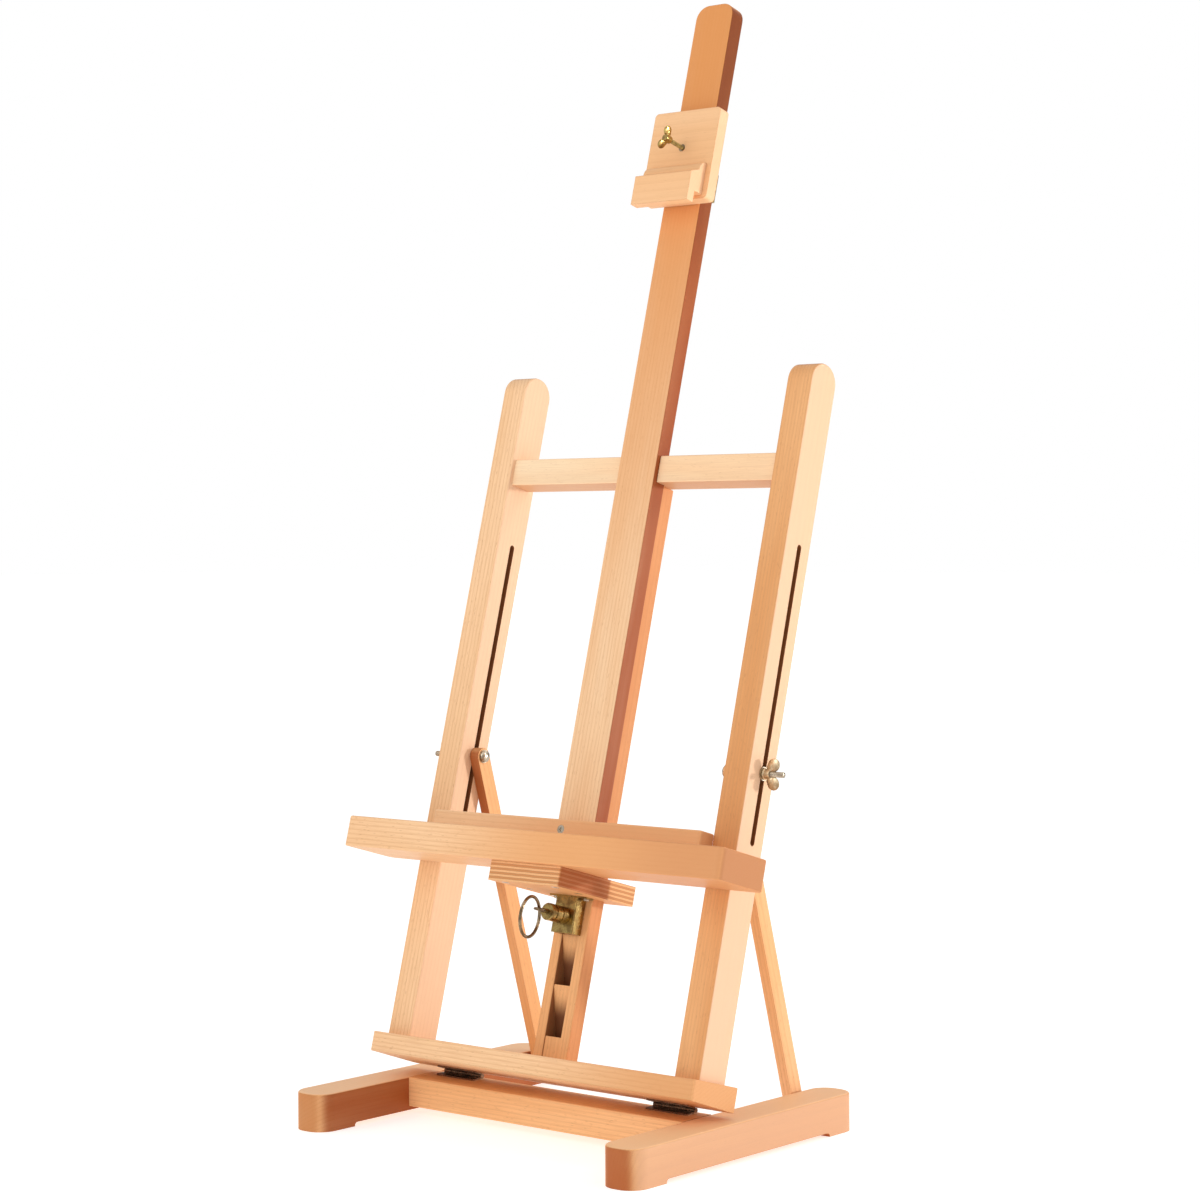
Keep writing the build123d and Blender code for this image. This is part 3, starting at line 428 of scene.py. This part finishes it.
def dress_base():
    # Painted light and shade on the feet: darker front ends and a darker inner side on the left foot,
    # lighter tops lit from above, and the right foot's outer side toned for its light.
    dress(wood("beech_foot_right", ALONG_Y, 1,
               lit_and_shaded_sides=[SideLightAndShade(FRONT, (0.42, 0.095, 0.020, 1), share=0.85),
                      SideLightAndShade(RIGHT, (0.64, 0.360, 0.220, 1), share=0.80),
                      SideLightAndShade(UP, (0.97, 0.620, 0.360, 1), share=0.85)]),
          "beech", "foot_right")
    dress(wood("beech_foot_left", ALONG_Y, 2, light=(0.92, 0.54, 0.27, 1),
               lit_and_shaded_sides=[SideLightAndShade(FRONT, (0.60, 0.220, 0.060, 1), share=0.60),
                      SideLightAndShade(RIGHT, SHADE_RUSSET, share=0.92),
                      SideLightAndShade(UP, (0.98, 0.660, 0.410, 1), share=0.85)]),
          "beech", "foot_left")
    dress(wood("beech_crossbeam", ALONG_X, 3, light=(0.95, 0.53, 0.25, 1)), "beech", "base_crossbeam")


def dress_leaning_frame():
    dress(wood("beech_rail", LEAN_X, 4, light=PALE, dark=(0.93, 0.60, 0.33, 1), end_share=0.25,
               fades=[Fade(RIGHT, low=-0.02, high=0.16, colour=TAN, share=0.75)]),
          "beech", "bottom_rail")
    # Painted highlight on the uprights' right sides.
    dress(wood("beech_upright_right", LEAN_Z, 5, lit_and_shaded_sides=[SideLightAndShade(RIGHT, SIDE_HIGHLIGHT_CREAM, share=0.85)], slot=SLOT_LINE),
          "beech", "upright_right")
    dress(wood("beech_upright_left", LEAN_Z, 6, light=PALE, dark=(0.90, 0.56, 0.30, 1),
               lit_and_shaded_sides=[SideLightAndShade(RIGHT, SIDE_HIGHLIGHT_CREAM, share=0.80)], slot=SLOT_LINE),
          "beech", "upright_left")
    # Painted shade on the crossbar's underside.
    dress(wood("beech_crossbar", LEAN_X, 7, light=BLOND, dark=PALE, figure=0.6,
               lit_and_shaded_sides=[SideLightAndShade(DOWN, (0.60, 0.25, 0.10, 1), share=0.75)]),
          "beech", "top_crossbar")


def dress_post():
    # Painted shade on the post rails' right sides.
    dress(wood("beech_post_right", LEAN_Z, 8, lit_and_shaded_sides=[SideLightAndShade(RIGHT, (0.56, 0.19, 0.065, 1), share=0.60)]),
          "beech", "post_rail_right")
    dress(wood("beech_post_left", LEAN_Z, 9, lit_and_shaded_sides=[SideLightAndShade(RIGHT, DEEP_SHADE_UMBER, share=0.88)]),
          "beech", "post_rail_left")
    # Painted shade in the rack's notches, darker deeper into the post.
    notch_shade = Fade(INTO_POST, low=depth_in_post(1.5 * MM), high=depth_in_post(8 * MM), colour=DEEP_SHADE_UMBER,
                   share=0.94, stop=depth_in_post(RACK_BACK - RACK_FRONT - 0.5 * MM))
    dress(wood("beech_rack", LEAN_Z, 10, fades=[notch_shade]), "beech", "ratchet_rack")
    dress(wood("beech_dowels", ALONG_X, 11), "beech", "base_dowels", "frame_dowels")


def dress_mast_and_tray():
    # Painted shade on the mast's right side, deeper from 0.70 m up.
    dress(wood("mast_beech", LEAN_Z, 12, light=(0.98, 0.71, 0.45, 1), dark=(0.93, 0.60, 0.34, 1),
               figure=0.85, fades=[Fade(UP, low=0.25, high=0.95, colour=AMBER, share=0.92)],
               lit_and_shaded_sides=[SideLightAndShade(RIGHT, SHADE_RUSSET, share=1.0), SideLightAndShade(RIGHT, DEEP_SHADE_UMBER, share=0.60, heights=(0.70, 0.88))]),
          "mast_beech", "mast")
    dress(wood("beech_tray", LEAN_X, 13, light=PALE, dark=BISCUIT,
               fades=[Fade(RIGHT, low=-0.14, high=0.05, colour=(0.80, 0.37, 0.140, 1), share=0.85),
                      Fade(RIGHT, low=0.06, high=0.18, colour=(0.64, 0.27, 0.115, 1), share=0.55)]),
          "beech", "tray_bar")
    dress(wood("beech_ledge", LEAN_X, 14, light=PALE, dark=BISCUIT, figure=0.5, end_share=0.3,
               fades=[Fade(RIGHT, low=-0.14, high=0.05, colour=(0.85, 0.43, 0.185, 1), share=0.75)]),
          "beech", "tray_ledge")


def dress_clamp_and_braces():
    # Painted light on the clamp's right side.
    dress(wood("beech_clamp", LEAN_X, 15, light=(0.93, 0.57, 0.31, 1), dark=(0.90, 0.52, 0.26, 1),
               end_share=0.04, figure=0.35, lit_and_shaded_sides=[SideLightAndShade(RIGHT, (0.84, 0.56, 0.37, 1), share=0.50)]),
          "beech", "clamp_body")
    dress(wood("beech_brace_right", BRACE_Z, 16, light=(0.95, 0.60, 0.33, 1), dark=(0.84, 0.44, 0.19, 1)),
          "beech", "brace_right")
    # Painted shade on the left brace's front face, from 0.16 m up.
    dress(wood("beech_brace_left", BRACE_Z, 17,
               lit_and_shaded_sides=[SideLightAndShade(FRONT, SHADE_RUSSET, share=0.95, heights=(0.16, 0.26))]),
          "beech", "brace_left")


def dress_fittings():
    dress(plywood("plywood", "carriage_plate", plies=9), "plywood", "carriage_plate")
    dress(BLACK, "black_steel", "hinge_lower_leaf_right", "hinge_lower_leaf_left", "hinge_upper_leaf_right",
          "hinge_upper_leaf_left", "hinge_pin_right", "hinge_pin_left", "hinge_lower_screws",
          "hinge_upper_screws")
    dress(BRASS, "brass", "pawl_box", "pawl_sleeve", "clamp_thumbscrew")
    dress(STRAP_BRASS, "brass", "clamp_strap")
    dress(NUT_BRASS, "brass", "wing_nut_right", "wing_nut_left")
    dress(BRONZE, "zinc_steel", "pull_ring", "pull_rod")
    dress(BRONZE, "brass", "clamp_insert")
    dress(ZINC, "zinc_steel", "pawl", "pawl_spring", "pawl_box_screws", "ledge_screw",
          "tray_screws", "post_screws", "clamp_strap_screws", "brace_bushes",
          "brace_pivot_screw_right", "brace_pivot_screw_left", "brace_bolt_right", "brace_bolt_left",
          "bolt_washers_right", "bolt_washers_left")


dress_base()
dress_leaning_frame()
dress_post()
dress_mast_and_tray()
dress_clamp_and_braces()
dress_fittings()


# ---------------------------------------------------------------- turned and cast hardware

def add_object(name, data):
    thing = bpy.data.objects.new(name, data)
    bpy.context.scene.collection.objects.link(thing)
    return thing


def piece(name, shape, material, place):
    """A smooth mesh object, drawn about its own origin and then set in place in the row frame."""
    vertices, faces = shape
    mesh = bpy.data.meshes.new(name)
    mesh.from_pydata([tuple(place @ Vector(v)) for v in vertices], [], faces)
    mesh.validate()
    mesh.shade_smooth()
    mesh.materials.append(material)
    thing = add_object(name, mesh)
    return thing


def in_mm(points):
    return [(radius * MM, height * MM) for radius, height in points]


def lathe(profile, segments=48, ridge=None):
    """Revolve (radius, height) points round Z. The first and last points lie on the axis."""
    vertices = [(0, 0, profile[0][1])]
    rings = profile[1:-1]
    for radius, height in rings:
        for step in range(segments):
            angle = math.tau * step / segments
            here = radius - (ridge(height, angle) if ridge else 0.0)
            vertices.append((here * math.cos(angle), here * math.sin(angle), height))
    vertices.append((0, 0, profile[-1][1]))
    faces = []
    for step in range(segments):
        after = (step + 1) % segments
        faces.append((0, 1 + after, 1 + step))
        for ring in range(len(rings) - 1):
            a = 1 + ring * segments
            b = a + segments
            faces.append((a + step, a + after, b + after, b + step))
        last = 1 + (len(rings) - 1) * segments
        faces.append((last + step, last + after, len(vertices) - 1))
    return vertices, faces


THREAD_PITCH = 0.8 * MM
THREAD_DEPTH = 0.42 * MM


def threaded(radius, start, end, thread_from, rings_per_turn=8, segments=28):
    """A rod from start to end along Z whose thread begins at thread_from."""
    def ridge(height, angle):
        turn = (height / THREAD_PITCH - angle / math.tau) % 1.0
        depth = THREAD_DEPTH * (1 - abs(2 * turn - 1))
        fade_in = min(max((height - thread_from) / THREAD_PITCH, 0), 1)
        fade_out = min(max((end - height) / THREAD_PITCH, 0), 1)
        return depth * fade_in + 0.5 * THREAD_DEPTH * (1 - fade_out)

    count = math.ceil((end - thread_from) / THREAD_PITCH) * rings_per_turn
    heights = [start] + [thread_from + (end - thread_from) * i / count for i in range(count + 1)]
    profile = [(0, start)] + [(radius, height) for height in heights] + [(0, end)]
    return lathe(profile, segments, ridge)


def joined(*shapes):
    vertices, faces = [], []
    for more_vertices, more_faces in shapes:
        base = len(vertices)
        vertices += more_vertices
        faces += [tuple(base + i for i in face) for face in more_faces]
    return vertices, faces


def ellipsoid(centre, radii, pitch, rings=14, segments=24):
    """An ellipsoid turned by pitch about Y."""
    turn = Matrix.Translation(centre) @ Matrix.Rotation(pitch, 4, "Y")
    profile = [(math.sin(math.pi * i / rings), -math.cos(math.pi * i / rings)) for i in range(rings + 1)]
    vertices, faces = lathe(profile, segments)
    placed = [tuple(turn @ Vector((v[0] * radii[0], v[1] * radii[1], v[2] * radii[2]))) for v in vertices]
    return placed, faces


LOBE_TILT = 0.35
NECK_TILT = -0.62


def wings(span, height, thick):
    """Two cast wings that flare out from a hub along +Z, each a round lobe on a slanting neck."""
    shapes = []
    lobe = 0.40 * height
    lobe_radii = (lobe * 0.90, thick * 0.50, lobe)
    neck_radii = (span * 0.19, thick * 0.58, height * 0.24)
    for side in (-1, 1):
        lobe_centre = (side * (span / 2 - lobe * 0.92), 0, height - lobe)
        neck_centre = (side * span * 0.22, 0, height * 0.42)
        shapes.append(ellipsoid(lobe_centre, lobe_radii, side * LOBE_TILT))
        shapes.append(ellipsoid(neck_centre, neck_radii, side * NECK_TILT))
    return joined(*shapes)


def cast(thing, voxel):
    """Melt overlapping solids into one smooth casting."""
    melt = thing.modifiers.new("melt", "REMESH")
    melt.mode = "VOXEL"
    melt.voxel_size = voxel
    melt.use_smooth_shade = True
    soften = thing.modifiers.new("soften", "SMOOTH")
    soften.factor = 0.5
    soften.iterations = 5


NUT_HUB = in_mm([(0, 0), (4.6, 0), (4.8, 0.4), (4.8, 1.3), (4.3, 2.0), (3.8, 6.6), (3.5, 7.0), (0, 7.0)])
NUT_SPAN, NUT_HEIGHT, NUT_THICK = 27.0 * MM, 15.9 * MM, 2.8 * MM
NUT_TURN = math.radians(12)


def wing_nut(side, label):
    node = "wing_nut_" + label
    low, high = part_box(node)
    seat = low.x if side > 0 else high.x
    axis = Vector(joints["wing_nut_turn_" + label]["pos_m"])
    place = (
        Matrix.Translation((seat, axis.y, axis.z))
        @ UPRIGHT_TO_ROW
        @ Matrix.Rotation(side * math.pi / 2, 4, "Y")
        @ Matrix.Rotation(side * NUT_TURN, 4, "Z")
    )
    shape = joined(lathe(NUT_HUB), wings(NUT_SPAN, NUT_HEIGHT, NUT_THICK))
    nut = piece(node + "_cast", shape, NUT_BRASS, place)
    cast(nut, voxel=0.32 * MM)
    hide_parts(node)
    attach(nut, "wing_nut_" + label)


BOLT_RADIUS, BOLT_THREAD = 2.5 * MM, 40 * MM
DOME_RADIUS, DOME_RISE, DOME_STEPS = 5.5 * MM, 2.6 * MM, 8
DOME_EDGE = [(5.5 * MM, 3.2 * MM), (5.3 * MM, 3.4 * MM), (0, 3.4 * MM)]
SHANK_START = 3.3 * MM


def brace_bolt(side, label):
    """Domed bolt, threaded where the wing nut runs."""
    node = "brace_bolt_" + label
    low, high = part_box(node)
    start, end = (low.x, high.x) if side > 0 else (-high.x, -low.x)
    axis = Vector(joints["wing_nut_turn_" + label]["pos_m"])
    place = Matrix.Translation((0, axis.y, axis.z)) @ Matrix.Rotation(side * math.pi / 2, 4, "Y")
    dome = [(0, start)]
    for step in range(1, DOME_STEPS + 1):
        angle = math.pi / 2 * step / DOME_STEPS
        dome.append((DOME_RADIUS * math.sin(angle), start + DOME_RISE * (1 - math.cos(angle))))
    dome += [(radius, start + height) for radius, height in DOME_EDGE]
    thread = threaded(BOLT_RADIUS, start + SHANK_START, end, end - BOLT_THREAD)
    bolt = piece(node + "_turned", joined(lathe(dome), thread), ZINC, place)
    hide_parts(node)
    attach(bolt, "bolt_" + label)


SCREW_HUB = in_mm([(0, 0), (3.2, 0), (3.6, 0.5), (3.5, 1.6), (2.9, 7.4), (2.4, 8.0), (0, 8.0)])
SCREW_SPAN, SCREW_HEIGHT, SCREW_THICK = 22.0 * MM, 12.5 * MM, 2.2 * MM
SCREW_TURN = math.radians(70)
STEM_RADIUS, STEM_START, STEM_THREAD_FROM = 2.0 * MM, -1.0 * MM, 0.6 * MM


def thumbscrew():
    """Wing screw of the clamp, threaded from its head to its tip."""
    low, high = upright_box("clamp_thumbscrew")
    axis_z = (ROW_TO_UPRIGHT @ (Vector(joints["clamp_screw_turn"]["pos_m"]) - PIN)).z
    place = (
        Matrix.Translation(PIN)
        @ UPRIGHT_TO_ROW
        @ Matrix.Translation((0, low.y + SCREW_HEIGHT, axis_z))
        @ Matrix.Rotation(math.pi / 2, 4, "X")
        @ Matrix.Rotation(SCREW_TURN, 4, "Z")
    )
    shape = joined(lathe(SCREW_HUB), wings(SCREW_SPAN, SCREW_HEIGHT, SCREW_THICK))
    head = piece("clamp_thumbscrew_head", shape, BRASS, place)
    cast(head, voxel=0.30 * MM)
    length = high.y - low.y - SCREW_HEIGHT
    shape = threaded(STEM_RADIUS, STEM_START, length, STEM_THREAD_FROM)
    flip = Matrix.Rotation(math.pi, 4, "X")
    stem = piece("clamp_thumbscrew_stem", shape, BRASS, place @ flip)
    for part in (head, stem):
        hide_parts("clamp_thumbscrew")
        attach(part, "clamp_screw")


def pawl_spring():
    """The spring in the sleeve, copied from the CAD part where it stands."""
    coil = add_object("pawl_spring_coil", nodes["pawl_spring"].data.copy())
    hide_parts("pawl_spring")
    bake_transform(coil)


for side, label in ((1, "right"), (-1, "left")):
    wing_nut(side, label)
    brace_bolt(side, label)
thumbscrew()
pawl_spring()


# ---------------------------------------------------------------- floor, light and camera

def floor(half=30.0, glow=0.58):
    """A pale studio floor, large enough to reach the horizon behind the easel."""
    mesh = bpy.data.meshes.new("studio_floor")
    corners = [(-half, -half, 0), (half, -half, 0), (half, half, 0), (-half, half, 0)]
    mesh.from_pydata(corners, [], [(0, 1, 2, 3)])
    plane = add_object("studio_floor", mesh)
    g = Graph("studio_floor")
    colour = g.mix(g.noise(g.position, 3.0, 2.0), (0.68, 0.685, 0.69, 1), (0.71, 0.715, 0.72, 1))
    g.shader.inputs["Emission Color"].default_value = (1, 1, 1, 1)
    g.shader.inputs["Emission Strength"].default_value = glow
    mesh.materials.append(g.finish(colour, roughness=0.9))


def area_light(name, at, towards, size, power, colour):
    data = bpy.data.lights.new(name, "AREA")
    data.shape = "RECTANGLE"
    data.size, data.size_y = size
    data.energy = power
    data.color = colour
    lamp = add_object(name, data)
    lamp.location = at
    lamp.rotation_euler = (Vector(towards) - Vector(at)).to_track_quat("-Z", "Y").to_euler()


def studio_world():
    """White to the camera, softer as light, and in reflections a bright ceiling over darker walls."""
    world = bpy.data.worlds.new("studio")
    bpy.context.scene.world = world
    world.use_nodes = True
    tree = world.node_tree
    tree.nodes.clear()

    def background(colour, strength=1.0):
        node = tree.nodes.new("ShaderNodeBackground")
        node.inputs["Color"].default_value = colour
        node.inputs["Strength"].default_value = strength
        return node

    def either(is_ray, first, second):
        """first for other rays, second for the rays of this kind."""
        node = tree.nodes.new("ShaderNodeMixShader")
        for socket, source in zip(node.inputs, (path.outputs[is_ray], first.outputs[0], second.outputs[0])):
            tree.links.new(source, socket)
        return node

    path = tree.nodes.new("ShaderNodeLightPath")
    place = tree.nodes.new("ShaderNodeTexCoord")
    split = tree.nodes.new("ShaderNodeSeparateXYZ")
    tree.links.new(place.outputs["Generated"], split.inputs[0])
    ramp = tree.nodes.new("ShaderNodeValToRGB")
    wall, ceiling = ramp.color_ramp.elements
    wall.position, wall.color = 0.05, (0.10, 0.09, 0.08, 1)
    ceiling.position, ceiling.color = 0.55, (1.2, 1.2, 1.2, 1)
    tree.links.new(split.outputs["Z"], ramp.inputs["Fac"])

    plain = background((1.0, 0.99, 0.975, 1), strength=0.67)
    white = background((1.0, 1.0, 1.0, 1))
    room = background((1.0, 1.0, 1.0, 1))
    tree.links.new(ramp.outputs["Color"], room.inputs["Color"])
    lit = either("Is Glossy Ray", plain, room)
    seen = either("Is Camera Ray", lit, white)
    out = tree.nodes.new("ShaderNodeOutputWorld")
    tree.links.new(seen.outputs[0], out.inputs["Surface"])


def camera():
    """Seen from the easel's front right, almost level, with a long lens."""
    at = (1.5792, -1.8487, 0.5131)
    yaw = math.radians(39.90)
    pitch = math.radians(1.29)
    roll = math.radians(-0.27)
    data = bpy.data.cameras.new("camera")
    data.lens = 84.5
    data.sensor_width = 36.0
    data.clip_end = 100.0
    eye = add_object("camera", data)
    eye.matrix_world = (
        Matrix.Translation(at)
        @ Euler((math.pi / 2 - pitch, 0, yaw)).to_matrix().to_4x4()
        @ Matrix.Rotation(roll, 4, "Z")
    )
    bpy.context.scene.camera = eye


MIDDLE = (0, 0, 0.45)
LOWER = (0, 0, 0.35)
floor()
studio_world()
area_light("key_right", at=(2.4, 1.2, 1.7), towards=MIDDLE, size=(0.5, 0.6), power=9,
           colour=(1.0, 0.97, 0.94))
area_light("low_right", at=(2.3, 1.7, 0.45), towards=LOWER, size=(0.25, 0.25), power=34,
           colour=(1.0, 0.96, 0.92))
area_light("fill_front", at=(-0.6, -2.6, 1.5), towards=MIDDLE, size=(2.0, 2.0), power=19,
           colour=(1.0, 0.985, 0.97))
camera()
bpy.context.scene.view_settings.view_transform = "Standard"

bpy.context.view_layer.update()
